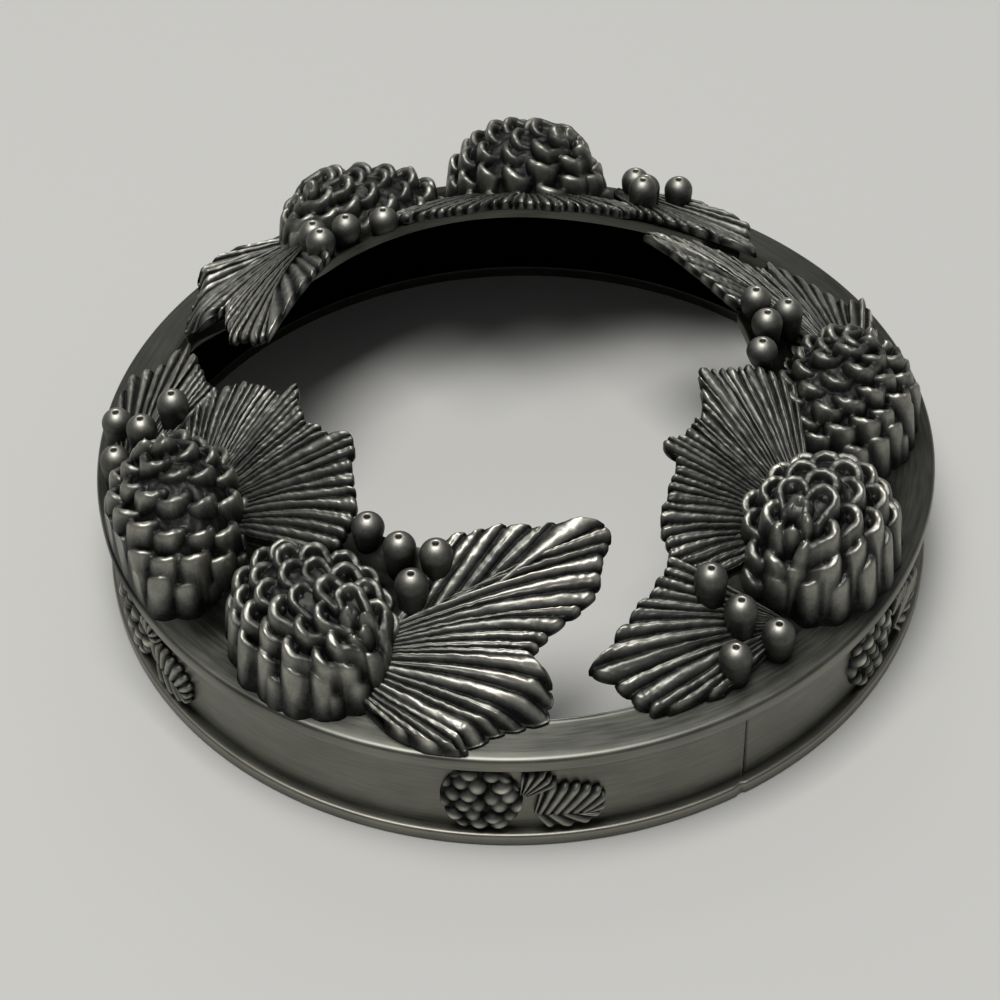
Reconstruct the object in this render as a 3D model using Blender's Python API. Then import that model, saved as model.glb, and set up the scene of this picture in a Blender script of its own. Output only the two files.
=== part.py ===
"""Candle jar topper: a cast pewter ring that sits on the mouth of a jar candle.

A bent collar strip stands on a foot flange and carries a dished top plate.
Three alike clusters of pinecones, needle fans and berries stand on the plate
and reach in over the open middle.  Origin: centre of the foot, +Z up, metres.
"""
import bmesh
import bpy
from math import acos, atan2, cos, degrees, hypot, pi, radians, sin, sqrt
from mathutils import Vector

# Ring sizes
COLLAR_BORE = 0.100             # inside of the collar, over the jar's mouth
BAND_WALL = 0.0016              # thickness of the collar strip
LIP_OVERHANG = 0.0014           # how far the plate's lip stands out from the collar
FOOT_OVERHANG = 0.0014          # how far the foot flange stands out from the collar
LIP_FACE = 0.0020               # height of the lip's upright face
LIP_TOP = 0.0154                # height of the lip's upper edge
PLATE_WALL = 0.0016             # thickness of the cast top plate
SHELF_WIDTH = 0.0050            # near-flat margin inside the lip
SHELF_RISE = 0.0006             # how far the margin climbs inwards
SADDLE_SLOPES = (0.66, 0.585, 0.67)      # climb under each cluster, per length inwards
FOOT_HEIGHT = 0.00175
FOOT_ROUND = 0.0004             # bevel round the flange's upper corner
SEAM_ANGLE = 299.5              # degrees: where the ends of the strip meet
SEAM_GAP = 0.00025
CLEARANCE = 0.0003              # solder gap between any two pieces
RING_STEPS = 72                 # facets round the ring

# Jar stops: short ribs inside the collar
STOP_ANGLES = (71.0, 191.0, 311.0)
STOP_DEPTH = 0.0010
STOP_HEIGHT = 0.0040

# Opening of the plate: how far in from the lip its edge lies along one cluster
GAP_MARGIN = 0.0054             # between two clusters
SADDLE_MARGIN = 0.0210          # under the middle of a cluster
SADDLE_START = 0.0415           # arc from the cluster's middle back to its start
SADDLE_END = 0.0408             # arc from the cluster's middle on to its end
SADDLE_EASE_START = 0.0260      # arc over which the edge swings in at the start
SADDLE_EASE_END = 0.0150        # arc over which it swings out again at the end
SADDLE_STEP = 0.0018            # arc over which it leaves the gap margin

# Clusters
CLUSTER_ANGLES = (220.0, 341.8, 461.7)   # degrees, as the three sit on this topper
CLUSTER_INSETS = (0.0, 0.0020, -0.0004)  # how much further in each one sits
CLUSTER_MARGIN = 0.0090         # from the lip in to the clusters' middle line

# Pinecones: the first points back along the ring, the second on along it
CONE_ACROSS = (-0.0014, -0.0032)         # from the clusters' middle line, outwards
CONE_MEETING = -0.0007          # along the ring: where the two cones meet
CONE_HEADINGS = (-119.0, 86.0)  # degrees from straight out
CONE_TILTS = (48.0, 38.0)       # degrees that the tip points up
CONE_HALF_LENGTH = 0.0115
CONE_HALF_WIDTH = 0.0090
CONE_TOPS = (0.0306, 0.0286)    # heights of the two crowns above the foot
CONE_WAIST = 0.0208             # height where the crown starts to draw in
SCALE_WIDTH = 0.0046
SCALE_REACH = 0.0027
SCALE_LIFT = 0.0009             # rim above the cone's body
SCALE_HOLLOW = 0.0009           # depth of the cup behind the rim
SCALES_PER_CONE = 56            # all round the body; about half of them show
GOLDEN_ANGLE = 137.508

# Berries
BERRY_DIAMETER = 0.0038
BERRY_DIMPLE = 0.0005
END_BERRIES = (
    (0.0006, -0.0009, 0.0037), (0.0011, 0.0042, 0.0049),
    (0.0034, 0.0080, 0.0050), (-0.0007, 0.0084, 0.0057),
)          # in from the second cone's side, on from its middle, crown above the plate
START_BERRIES = (
    (0.0092, 0.0033, 0.0063), (0.0052, 0.0049, 0.0062),
    (0.0007, 0.0047, 0.0051), (0.0046, 0.0098, 0.0055),
)          # in from the first cone's middle, back from its end, crown above the plate

# Needle fans
FAN_WALL = 0.0014               # thickness between two needles
NEEDLE_HEIGHT = 0.0006          # crest of a needle above the web
NEEDLE_NOTCH = 0.0009           # how far the web stops short of a needle's point
FAN_CLEARANCE = 0.0005          # from cones and berries to the needles' roots
FAN_SAG = 0.0002                # how far a fan's straight facets dip towards the round plate
START_ROOT = (0.0004, -0.0017)  # start fan's root: out from the first cone's middle, on from its end
END_ROOT = (0.0022, 0.0051)     # end fans' root: out from the second cone's middle, and on from it

# Relief ornaments on the collar
ORNAMENT_ANGLES = (24.0, 84.0, 144.0, 204.0, 264.0, 324.0)
RELIEF_DEPTH = 0.00105
RELIEF_CONE_WIDTH = 0.0090
RELIEF_CONE_HEIGHT = 0.0105
RELIEF_MIDDLE = 0.0073          # height of the ornaments' middle above the foot
RELIEF_KNOB = 0.0003
SPRIG_REACH = 0.0105
SPRIG_ROOT = 0.0008             # from the relief cone to the sprig's needles

# Derived sizes
BAND_INSIDE = COLLAR_BORE / 2
BAND_RADIUS = BAND_INSIDE + BAND_WALL
LIP_RADIUS = BAND_RADIUS + LIP_OVERHANG
FOOT_RADIUS = BAND_RADIUS + FOOT_OVERHANG
LIP_BOTTOM = LIP_TOP - LIP_FACE
BAND_BOTTOM = FOOT_HEIGHT + CLEARANCE
BAND_TOP = LIP_BOTTOM - CLEARANCE
SHELF_EDGE = LIP_RADIUS - SHELF_WIDTH
SHELF_TOP = LIP_TOP + SHELF_RISE
PATTERN_RADIUS = LIP_RADIUS - CLUSTER_MARGIN


def cone_reach(number):
    """How far a cone's outline reaches from its middle along the ring."""
    turn = radians(CONE_HEADINGS[number])
    return hypot(CONE_HALF_LENGTH * sin(turn), CONE_HALF_WIDTH * cos(turn))


CONE_PLACES = (
    (CONE_ACROSS[0], CONE_MEETING - CLEARANCE / 2 - cone_reach(0)),
    (CONE_ACROSS[1], CONE_MEETING + CLEARANCE / 2 + cone_reach(1)),
)
CONE_END = CONE_PLACES[0][1] - cone_reach(0)
BERRY_PLACES = tuple(
    (CONE_PLACES[1][0] - CONE_HALF_WIDTH - inwards, CONE_PLACES[1][1] + onwards, height)
    for inwards, onwards, height in END_BERRIES
) + tuple(
    (CONE_PLACES[0][0] - inwards, CONE_END - back, height)
    for inwards, back, height in START_BERRIES
)
END_PLACES, START_PLACES = BERRY_PLACES[:len(END_BERRIES)], BERRY_PLACES[len(END_BERRIES):]


def polar(radius, angle):
    """Point of the XY plane at a radius and an angle in degrees."""
    return Vector((radius * cos(radians(angle)), radius * sin(radians(angle))))


def nearest_cluster(angle):
    """Index of the cluster whose middle lies nearest to an angle."""
    return min(range(len(CLUSTER_ANGLES)),
               key=lambda index: abs((angle - CLUSTER_ANGLES[index] + 180.0) % 360.0 - 180.0))


def bed_height(radius, cluster):
    """Top of the plate at a radius: a near-flat margin, then a steady climb inwards."""
    if radius > SHELF_EDGE:
        return LIP_TOP + SHELF_RISE * (LIP_RADIUS - radius) / SHELF_WIDTH
    return SHELF_TOP + SADDLE_SLOPES[cluster] * (SHELF_EDGE - radius)


def seat_height(x, y):
    """Underside of a piece that is soldered to the plate at (x, y)."""
    cluster = nearest_cluster(degrees(atan2(y, x)))
    return bed_height(hypot(x, y), cluster) + CLEARANCE


def cluster_point(cluster, across, along):
    """Plan position of a cluster's own (across, along) coordinates."""
    middle = CLUSTER_ANGLES[cluster]
    out = polar(1.0, middle)
    side = polar(1.0, middle + 90.0)
    return out * (PATTERN_RADIUS - CLUSTER_INSETS[cluster] + across) + side * along


def inside_lip(spot):
    """A plan position, drawn in where it would hang over the lip."""
    limit = LIP_RADIUS - CLEARANCE
    return spot * min(1.0, limit / spot.length)


def material(name, colour, roughness):
    """Pewter in one shade."""
    metal = bpy.data.materials.new(name)
    metal.use_nodes = True
    shader = metal.node_tree.nodes["Principled BSDF"]
    shader.inputs["Base Color"].default_value = (*colour, 1.0)
    shader.inputs["Metallic"].default_value = 1.0
    shader.inputs["Roughness"].default_value = roughness
    return metal


def add_object(name, mesh, metal):
    """Link a mesh to the scene under a node's name."""
    thing = bpy.data.objects.new(name, mesh)
    thing.data.materials.append(metal)
    bpy.context.scene.collection.objects.link(thing)
    return thing


def mesh_from(name, points, faces):
    """Mesh whose faces all point outwards."""
    mesh = bpy.data.meshes.new(name)
    mesh.from_pydata(points, [], faces)
    work = bmesh.new()
    work.from_mesh(mesh)
    bmesh.ops.recalc_face_normals(work, faces=work.faces)
    work.to_mesh(mesh)
    work.free()
    return mesh


def ring_mesh(name, loops):
    """Closed ring: each loop holds RING_STEPS points, the last loop joins the first."""
    steps = len(loops[0])
    points = [point for loop in loops for point in loop]
    faces = []
    for row in range(len(loops)):
        below = (row + 1) % len(loops)
        for step in range(steps):
            ahead = (step + 1) % steps
            faces.append((row * steps + step, row * steps + ahead,
                          below * steps + ahead, below * steps + step))
    return mesh_from(name, points, faces)


def sheet_mesh(name, top, bottom):
    """Closed sheet between two lattices of rows; they share their number of columns."""
    columns = len(top[0])
    points = [point for row in top + bottom for point in row]
    start = len(top) * columns
    faces = []
    for base, rows in ((0, len(top)), (start, len(bottom))):
        for row in range(rows - 1):
            for column in range(columns - 1):
                corner = base + row * columns + column
                faces.append((corner, corner + 1, corner + columns + 1, corner + columns))
    for upper, lower in ((0, start), (start - columns, len(points) - columns)):
        for column in range(columns - 1):
            faces.append((upper + column, upper + column + 1, lower + column + 1, lower + column))
    for side in (0, columns - 1):
        rim = [row * columns + side for row in range(len(top))]
        rim += [start + row * columns + side for row in reversed(range(len(bottom)))]
        faces.append(tuple(rim))
    return mesh_from(name, points, faces)


def fused(base, tool, operation):
    """Mesh of base after one exact Boolean with tool; both helper objects go."""
    step = base.modifiers.new(operation, "BOOLEAN")
    step.solver = "EXACT"
    step.use_self = operation == "UNION"
    step.operation = operation
    step.object = tool
    graph = bpy.context.evaluated_depsgraph_get()
    mesh = bpy.data.meshes.new_from_object(base.evaluated_get(graph))
    for helper in (base, tool):
        bpy.data.objects.remove(helper)
    return mesh


# Foot, collar and plate

def make_foot(metal):
    """Flat flange that rests on the jar, turned from its profile."""
    outer = FOOT_RADIUS
    profile = [
        (outer - FOOT_ROUND, FOOT_HEIGHT),
        (outer, FOOT_HEIGHT - FOOT_ROUND),
        (outer, 0.0),
        (BAND_INSIDE, 0.0),
        (BAND_INSIDE, FOOT_HEIGHT),
    ]
    mesh = bpy.data.meshes.new("foot_flange")
    points = [(x, 0.0, z) for x, z in profile]
    edges = [(i, (i + 1) % len(profile)) for i in range(len(profile))]
    mesh.from_pydata(points, edges, [])
    foot = add_object("foot_flange", mesh, metal)
    turn = foot.modifiers.new("Turned", "SCREW")
    turn.steps = RING_STEPS
    turn.render_steps = RING_STEPS
    turn.use_merge_vertices = True
    turn.merge_threshold = 0.00001
    turn.use_smooth_shade = False
    return foot


def make_band(metal):
    """Collar strip bent round until its ends meet at the seam, with the jar stops inside."""
    opening = SEAM_GAP / BAND_RADIUS
    start = radians(SEAM_ANGLE) + opening / 2
    sweep = 2 * pi - opening
    stop_bottom = BAND_TOP - STOP_HEIGHT
    profile = [
        (BAND_RADIUS, BAND_TOP),
        (BAND_RADIUS, BAND_BOTTOM),
        (BAND_INSIDE, BAND_BOTTOM),
        (BAND_INSIDE, stop_bottom),
        (BAND_INSIDE, BAND_TOP),
    ]
    points = []
    for step in range(RING_STEPS + 1):
        angle = start + sweep * step / RING_STEPS
        for radius, height in profile:
            points.append((radius * cos(angle), radius * sin(angle), height))
    size = len(profile)
    faces = [tuple(range(size)), tuple(range(RING_STEPS * size, RING_STEPS * size + size))]
    for step in range(RING_STEPS):
        for corner in range(size):
            ahead = (corner + 1) % size
            faces.append((step * size + corner, step * size + ahead,
                          (step + 1) * size + ahead, (step + 1) * size + corner))
    mesh = mesh_from("collar_band", points, faces)
    work = bmesh.new()
    work.from_mesh(mesh)
    for place in STOP_ANGLES:
        aim = polar(BAND_INSIDE, place)
        target = Vector((aim.x, aim.y, (BAND_TOP + stop_bottom) / 2))
        wall = min(work.faces, key=lambda face: (face.calc_center_median() - target).length)
        rib = bmesh.ops.extrude_discrete_faces(work, faces=[wall])["faces"][0]
        inwards = -Vector((aim.x, aim.y, 0.0)).normalized()
        bmesh.ops.translate(work, verts=rib.verts, vec=inwards * STOP_DEPTH)
    bmesh.ops.recalc_face_normals(work, faces=work.faces)
    work.to_mesh(mesh)
    work.free()
    return add_object("collar_band", mesh, metal)


def opening_radius(angle):
    """Radius of the plate's inner edge: wide in the gaps, drawn in under each cluster."""
    radius = LIP_RADIUS - GAP_MARGIN
    for cluster, middle in enumerate(CLUSTER_ANGLES):
        turned = (angle - middle + 180.0) % 360.0 - 180.0
        arc = radians(turned) * PATTERN_RADIUS
        inner = LIP_RADIUS - SADDLE_MARGIN - CLUSTER_INSETS[cluster]
        reach = SADDLE_END if arc > 0 else SADDLE_START
        ease = SADDLE_EASE_END if arc > 0 else SADDLE_EASE_START
        left = reach - abs(arc)
        if left <= 0:
            continue
        step = min(left / SADDLE_STEP, 1.0)
        swing = min(left / ease, 1.0)
        part = 0.35 * step + 0.65 * sin(swing * pi / 2)
        radius = LIP_RADIUS - GAP_MARGIN - part * (LIP_RADIUS - GAP_MARGIN - inner)
    return radius


def make_plate(metal):
    """Dished top plate with its lip; the saddles under the clusters climb inwards."""
    loops = [[] for _ in range(8)]
    angles = [360.0 * step / RING_STEPS for step in range(RING_STEPS)]
    for middle in CLUSTER_ANGLES:
        for arc in (-SADDLE_START, SADDLE_STEP - SADDLE_START, SADDLE_END - SADDLE_STEP, SADDLE_END):
            angles.append((middle + arc / PATTERN_RADIUS * 180.0 / pi) % 360.0)
    for angle in sorted(angles):
        cluster = nearest_cluster(angle)
        edge = opening_radius(angle)
        middle = (SHELF_EDGE + edge) / 2
        half = (SHELF_EDGE - PLATE_WALL / 2 + edge) / 2
        section = [
            (LIP_RADIUS, LIP_TOP),
            (SHELF_EDGE, SHELF_TOP),
            (middle, bed_height(middle, cluster)),
            (edge, bed_height(edge, cluster)),
            (edge, bed_height(edge, cluster) - PLATE_WALL),
            (half, bed_height(half, cluster) - PLATE_WALL),
            (SHELF_EDGE, LIP_BOTTOM),
            (LIP_RADIUS, LIP_BOTTOM),
        ]
        for loop, (radius, height) in zip(loops, section):
            spot = polar(radius, angle)
            loop.append((spot.x, spot.y, height))
    return add_object("top_plate", ring_mesh("top_plate", loops), metal)


# Pinecones

def cone_frame(cluster, number):
    """Middle of a cone in plan, and the unit vectors along and across its axis."""
    middle = cluster_point(cluster, *CONE_PLACES[number])
    heading = CLUSTER_ANGLES[cluster] + CONE_HEADINGS[number]
    return middle, polar(1.0, heading), polar(1.0, heading + 90.0)


def scale_spots(tilt):
    """Directions of the scales on a unit ball whose pole leans, by the golden angle."""
    lean = radians(tilt)
    spots = []
    for index in range(SCALES_PER_CONE):
        down = acos(1.0 - 2.0 * (index + 0.5) / SCALES_PER_CONE)
        round_axis = radians(GOLDEN_ANGLE * index)
        x = sin(down) * cos(round_axis)
        y = sin(down) * sin(round_axis)
        z = cos(down)
        spot = Vector((z * cos(lean) + x * sin(lean), y, z * sin(lean) - x * cos(lean)))
        if spot.z > -0.06:
            spots.append(spot)
    return spots


def add_prism(work, outline, floor, hollow):
    """Upright finger: a closed outline with its own heights, dished towards hollow."""
    rim = [work.verts.new(point) for point in outline]
    foot = [work.verts.new((x, y, floor)) for x, y, _ in outline]
    pit = work.verts.new(hollow)
    count = len(outline)
    for index in range(count):
        ahead = (index + 1) % count
        work.faces.new((foot[index], foot[ahead], rim[ahead], rim[index]))
        work.faces.new((rim[index], rim[ahead], pit))
    work.faces.new(list(reversed(foot)))


def scale_outline(spot, away, shape):
    """Rim points of one scale: an arc round its outer side and two points at its back."""
    side = Vector((-away.y, away.x))
    middle, along, across, waist, crown = shape
    height = waist + crown * max(spot.z, 0.0)
    plan = middle + along * (spot.x * CONE_HALF_LENGTH) + across * (spot.y * CONE_HALF_WIDTH)
    plan -= away * SCALE_REACH
    outline = []
    for angle in (-90, -32, 32, 90):
        out = away * (SCALE_REACH * cos(radians(angle)))
        out += side * (SCALE_WIDTH / 2 * sin(radians(angle)))
        outline.append((*inside_lip(plan + out), height + SCALE_LIFT))
    for turn in (1, -1):
        back = plan - away * SCALE_REACH * 0.6 + side * (SCALE_WIDTH * 0.34 * turn)
        outline.append((*inside_lip(back), height + SCALE_LIFT - SCALE_HOLLOW))
    pit = inside_lip(plan + away * SCALE_REACH * 0.15)
    return outline, (*pit, height + SCALE_LIFT - SCALE_HOLLOW)


def cone_mesh(name, cluster, number):
    """Open pinecone lying tip up: scales stand round a body, all upright below."""
    middle, along, across = cone_frame(cluster, number)
    crown = CONE_TOPS[number] - SCALE_LIFT - CONE_WAIST
    tilt = CONE_TILTS[number]
    tip = Vector((cos(radians(tilt)), 0.0))
    shape = (middle, along, across, CONE_WAIST, crown)
    work = bmesh.new()
    for spot in scale_spots(tilt):
        flat = Vector((spot.x, spot.y)) - tip
        if flat.length < 0.05:
            flat = Vector((1.0, 0.0))
        away = (along * flat.x * CONE_HALF_LENGTH + across * flat.y * CONE_HALF_WIDTH).normalized()
        outline, hollow = scale_outline(spot, away, shape)
        add_prism(work, outline, LIP_BOTTOM, hollow)
    scales = bpy.data.meshes.new(name + "_scales")
    work.to_mesh(scales)
    work.free()
    body = body_mesh(name + "_body", shape)
    helpers = [bpy.data.objects.new(mesh.name, mesh) for mesh in (body, scales, bed_mesh(cluster))]
    for helper in helpers:
        bpy.context.scene.collection.objects.link(helper)
    joined = bpy.data.objects.new(name + "_joined", fused(helpers[0], helpers[1], "UNION"))
    bpy.context.scene.collection.objects.link(joined)
    mesh = fused(joined, helpers[2], "DIFFERENCE")
    work = bmesh.new()
    work.from_mesh(mesh)
    bmesh.ops.remove_doubles(work, verts=work.verts, dist=0.000005)
    bmesh.ops.dissolve_limit(work, verts=work.verts, edges=work.edges, angle_limit=radians(2))
    bmesh.ops.recalc_face_normals(work, faces=work.faces)
    work.to_mesh(mesh)
    work.free()
    return mesh


def body_mesh(name, shape):
    """Body inside the scales: a half ovoid on an upright wall, a little under the rims."""
    middle, along, across, waist, crown = shape
    levels = [(1.0, LIP_BOTTOM - waist)]
    levels += [(cos(radians(rise)), crown * sin(radians(rise)) - SCALE_HOLLOW)
               for rise in (0, 30, 60)]
    steps = 12
    inset = SCALE_REACH * 0.2
    points = []
    for width, lift in levels:
        for step in range(steps):
            angle = 2 * pi * step / steps
            plan = middle + along * ((CONE_HALF_LENGTH - inset) * width * cos(angle))
            plan += across * ((CONE_HALF_WIDTH - inset) * width * sin(angle))
            points.append((*inside_lip(plan), waist + lift))
    faces = [tuple(range(steps)), tuple(range(3 * steps, 4 * steps))]
    for row in range(3):
        for step in range(steps):
            ahead = (step + 1) % steps
            faces.append((row * steps + step, row * steps + ahead,
                          (row + 1) * steps + ahead, (row + 1) * steps + step))
    return mesh_from(name, points, faces)


def bed_mesh(cluster):
    """Cutter whose top follows the plate under a cluster, one clearance above it."""
    outer, inner = LIP_RADIUS * 1.2, LIP_RADIUS / 4
    loops = []
    for radius, height in (
        (outer, bed_height(outer, cluster) + CLEARANCE),
        (SHELF_EDGE, SHELF_TOP + CLEARANCE),
        (inner, bed_height(inner, cluster) + CLEARANCE),
        (inner, 0.0),
        (outer, 0.0),
    ):
        spots = [polar(radius, 360.0 * step / RING_STEPS) for step in range(RING_STEPS)]
        loops.append([(spot.x, spot.y, height) for spot in spots])
    return ring_mesh("bed", loops)


# Berries

def berry_mesh(name, cluster, place):
    """Upright bead with a dimple in its crown; its foot follows the plate's slope."""
    across, along, rise = place
    middle = cluster_point(cluster, across, along)
    crown = bed_height(middle.length, cluster) + rise
    radius = BERRY_DIAMETER / 2
    steps = 7
    shoulder = radians(50)
    rows = [
        (radius, None),
        (radius, crown - radius),
        (radius * cos(shoulder), crown - radius * (1 - sin(shoulder))),
    ]
    points = []
    for width, height in rows:
        for step in range(steps):
            angle = 2 * pi * step / steps
            x = middle.x + width * cos(angle)
            y = middle.y + width * sin(angle)
            points.append((x, y, seat_height(x, y) if height is None else height))
    points.append((middle.x, middle.y, crown - BERRY_DIMPLE))
    points.append((middle.x, middle.y, seat_height(middle.x, middle.y)))
    last = len(points) - 1
    faces = []
    for step in range(steps):
        ahead = (step + 1) % steps
        for row in range(2):
            faces.append((row * steps + step, row * steps + ahead,
                          (row + 1) * steps + ahead, (row + 1) * steps + step))
        faces.append((2 * steps + step, 2 * steps + ahead, last - 1))
        faces.append((ahead, step, last))
    return mesh_from(name, points, faces)


# Needle fans

def between(values, share):
    """Value at a share of the way along evenly spaced stations."""
    spot = share * (len(values) - 1)
    index = min(int(spot), len(values) - 2)
    return values[index] + (values[index + 1] - values[index]) * (spot - index)


def needle_start(cluster, root, direction, berries):
    """Distance from the root at which a needle clears the cones and the given berries."""
    aim = polar(1.0, direction)
    start = 0.0
    for number in range(len(CONE_PLACES)):
        middle, along, across = cone_frame(cluster, number)
        off = root - middle
        u = off.dot(along) / (CONE_HALF_LENGTH + FAN_CLEARANCE)
        v = off.dot(across) / (CONE_HALF_WIDTH + FAN_CLEARANCE)
        du = aim.dot(along) / (CONE_HALF_LENGTH + FAN_CLEARANCE)
        dv = aim.dot(across) / (CONE_HALF_WIDTH + FAN_CLEARANCE)
        a, b, c = du * du + dv * dv, u * du + v * dv, u * u + v * v - 1.0
        if b * b > a * c:
            start = max(start, (-b + sqrt(b * b - a * c)) / a)
    for across, along, _ in berries:
        off = root - cluster_point(cluster, across, along)
        reach = BERRY_DIAMETER / 2 + FAN_CLEARANCE
        b, c = off.dot(aim), off.length_squared - reach * reach
        if b * b > c:
            start = max(start, -b + sqrt(b * b - c))
    return start


def fan_mesh(name, cluster, fan):
    """Fan of needles over the plate's slope, carried on inwards past the plate's edge."""
    _, root_place, first, last, reaches, needles, berries = fan
    root = cluster_point(cluster, *root_place)
    columns = 2 * needles + 1
    top = [[] for _ in range(3)]
    bottom = [[] for _ in range(3)]
    for column in range(columns):
        share = column / (columns - 1)
        direction = CLUSTER_ANGLES[cluster] + first + (last - first) * share
        crest = column % 2 == 1
        near = needle_start(cluster, root, direction, berries)
        far = between(reaches, share) - (0.0 if crest else NEEDLE_NOTCH)
        far = max(far, near + NEEDLE_NOTCH)
        ridge = NEEDLE_HEIGHT if crest else 0.0
        aim = polar(1.0, direction)
        for row, (step, rise) in enumerate(((0.0, 0.6), (0.5, 1.0), (1.0, 0.8))):
            spot = inside_lip(root + aim * (near + (far - near) * step))
            height = seat_height(spot.x, spot.y) + FAN_WALL + ridge * rise
            top[row].append((spot.x, spot.y, height))
        for row, step in enumerate((0.0, 0.45, 0.97)):
            spot = inside_lip(root + aim * (near + (far - near) * step))
            bottom[row].append((spot.x, spot.y, seat_height(spot.x, spot.y) + FAN_SAG))
    return sheet_mesh(name, top, bottom)


START_PLACE = (CONE_PLACES[0][0] + START_ROOT[0], CONE_END + START_ROOT[1])
END_PLACE = (CONE_PLACES[1][0] + END_ROOT[0], CONE_PLACES[1][1] + END_ROOT[1])

# name, root (across, along), headings of the first and last needle, reaches, needles,
# and the berries that its needles start behind
FANS = (
    ("start_fan", START_PLACE, -129.0, -176.0,
     (0.0186, 0.0214, 0.0256, 0.0214, 0.0196, 0.0172, 0.0160), 8, START_PLACES),
    ("inner_fan_first", CONE_PLACES[0], -131.5, -177.0,
     (0.0166, 0.0190, 0.0194, 0.0186, 0.0172, 0.0162), 10, ()),
    ("inner_fan_second", CONE_PLACES[0], -179.3, -237.5,
     (0.0186, 0.0172, 0.0166, 0.0168, 0.0180, 0.0210, 0.0208, 0.0210, 0.0220), 12, ()),
    ("end_fan_upper", END_PLACE, 171.0, 133.5,
     (0.0190, 0.0240, 0.0300, 0.0342, 0.0322, 0.0302, 0.0252, 0.0246), 12, END_PLACES),
    ("end_fan_lower", END_PLACE, 130.0, 93.0,
     (0.0262, 0.0222, 0.0216, 0.0196, 0.0140), 8, END_PLACES),
)


# Relief ornaments

def band_point(place, arc, height, depth):
    """Point on the collar: arc along it from an angle, height above the foot, depth out."""
    seat = BAND_RADIUS + CLEARANCE
    angle = radians(place) + arc / BAND_RADIUS
    return ((seat + depth) * cos(angle), (seat + depth) * sin(angle), height)


def relief_cone_mesh(name, place):
    """Half-raised pinecone whose knobs alternate from ring to ring."""
    steps = 12
    middle = RELIEF_MIDDLE
    points = []
    for share, lift in ((1.0, 0.25), (0.72, 0.75), (0.4, 1.0)):
        for step in range(steps):
            angle = 2 * pi * step / steps
            knob = RELIEF_KNOB if (step + int(share * 10)) % 2 else -RELIEF_KNOB
            depth = RELIEF_DEPTH * lift - RELIEF_KNOB + knob * (share < 1.0)
            arc = RELIEF_CONE_WIDTH / 2 * share * cos(angle)
            height = middle + RELIEF_CONE_HEIGHT / 2 * share * sin(angle)
            points.append(band_point(place, arc, height, max(depth, RELIEF_KNOB)))
    for share in (1.0, 0.5):
        for step in range(steps):
            angle = 2 * pi * step / steps
            arc = RELIEF_CONE_WIDTH / 2 * share * cos(angle)
            height = middle + RELIEF_CONE_HEIGHT / 2 * share * sin(angle)
            points.append(band_point(place, arc, height, 0.0))
    points.append(band_point(place, 0.0, middle, RELIEF_DEPTH))
    points.append(band_point(place, 0.0, middle, 0.0))
    faces = []
    for step in range(steps):
        ahead = (step + 1) % steps
        for lower, upper in ((0, 1), (1, 2), (0, 3), (3, 4)):
            faces.append((lower * steps + step, lower * steps + ahead,
                          upper * steps + ahead, upper * steps + step))
        faces.append((2 * steps + step, 2 * steps + ahead, len(points) - 2))
        faces.append((4 * steps + step, 4 * steps + ahead, len(points) - 1))
    return mesh_from(name, points, faces)


def relief_sprig_mesh(name, place):
    """Spray of needles beside a relief cone, bent round the collar."""
    middle = RELIEF_MIDDLE
    room = middle - BAND_BOTTOM - RELIEF_KNOB
    root = RELIEF_CONE_WIDTH / 2 - 0.0015
    needles = 7
    columns = 2 * needles + 1
    top = [[] for _ in range(2)]
    bottom = [[] for _ in range(3)]
    for column in range(columns):
        share = column / (columns - 1)
        direction = radians(-38.0 + 98.0 * share)
        crest = column % 2 == 1
        far = SPRIG_REACH * (1.0 - 0.38 * abs(share - 0.3)) - (0.0 if crest else NEEDLE_NOTCH)
        far = min(far, room / max(abs(sin(direction)), 0.01))
        near = 0.0015 + SPRIG_ROOT + 0.0012 * abs(sin(direction))
        depth = RELIEF_DEPTH if crest else RELIEF_DEPTH - RELIEF_KNOB
        for row, step in enumerate((0.0, 1.0)):
            reach = near + (far - near) * step
            top[row].append(band_point(place, root + reach * cos(direction),
                                       middle + reach * sin(direction), depth))
        for row, step in enumerate((0.0, 0.5, 1.0)):
            reach = near + (far - near) * step
            bottom[row].append(band_point(place, root + reach * cos(direction),
                                          middle + reach * sin(direction), 0.0))
    return sheet_mesh(name, top, bottom)


def build():
    """All pieces of the topper."""
    for thing in list(bpy.data.objects):
        bpy.data.objects.remove(thing)
    brushed = material("brushed_pewter", (0.17, 0.165, 0.15), 0.38)
    edge = material("worn_pewter", (0.30, 0.29, 0.26), 0.30)
    dark = material("darkened_pewter", (0.09, 0.088, 0.08), 0.36)
    make_foot(edge)
    make_band(brushed)
    make_plate(brushed)
    for cluster, letter in enumerate("abc"):
        for number in range(len(CONE_PLACES)):
            name = f"pinecone_{letter}{number + 1}"
            add_object(name, cone_mesh(name, cluster, number), dark)
        for number, place in enumerate(BERRY_PLACES):
            name = f"berry_{letter}{number + 1}"
            add_object(name, berry_mesh(name, cluster, place), dark)
        for fan in FANS:
            name = f"{fan[0]}_{letter}"
            add_object(name, fan_mesh(name, cluster, fan), dark)
    for number, place in enumerate(ORNAMENT_ANGLES):
        name = f"relief_cone_{number + 1}"
        add_object(name, relief_cone_mesh(name, place), dark)
        name = f"relief_sprig_{number + 1}"
        add_object(name, relief_sprig_mesh(name, place), dark)


build()
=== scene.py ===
# %% [markdown]
# # A cast pewter candle jar topper
#
# The real object is a ring that sits on the mouth of a jar candle. A strip of
# pewter is bent round, soldered at one seam and stood on a flat flange. A dished
# plate with a thin lip closes it, and three alike clusters of pinecones, needle
# fans and berries stand on the plate and lean in over the open middle.
#
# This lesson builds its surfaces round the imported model, which is loaded first and
# never moved. Each surface is a function of two parameters on a grid.

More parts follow.
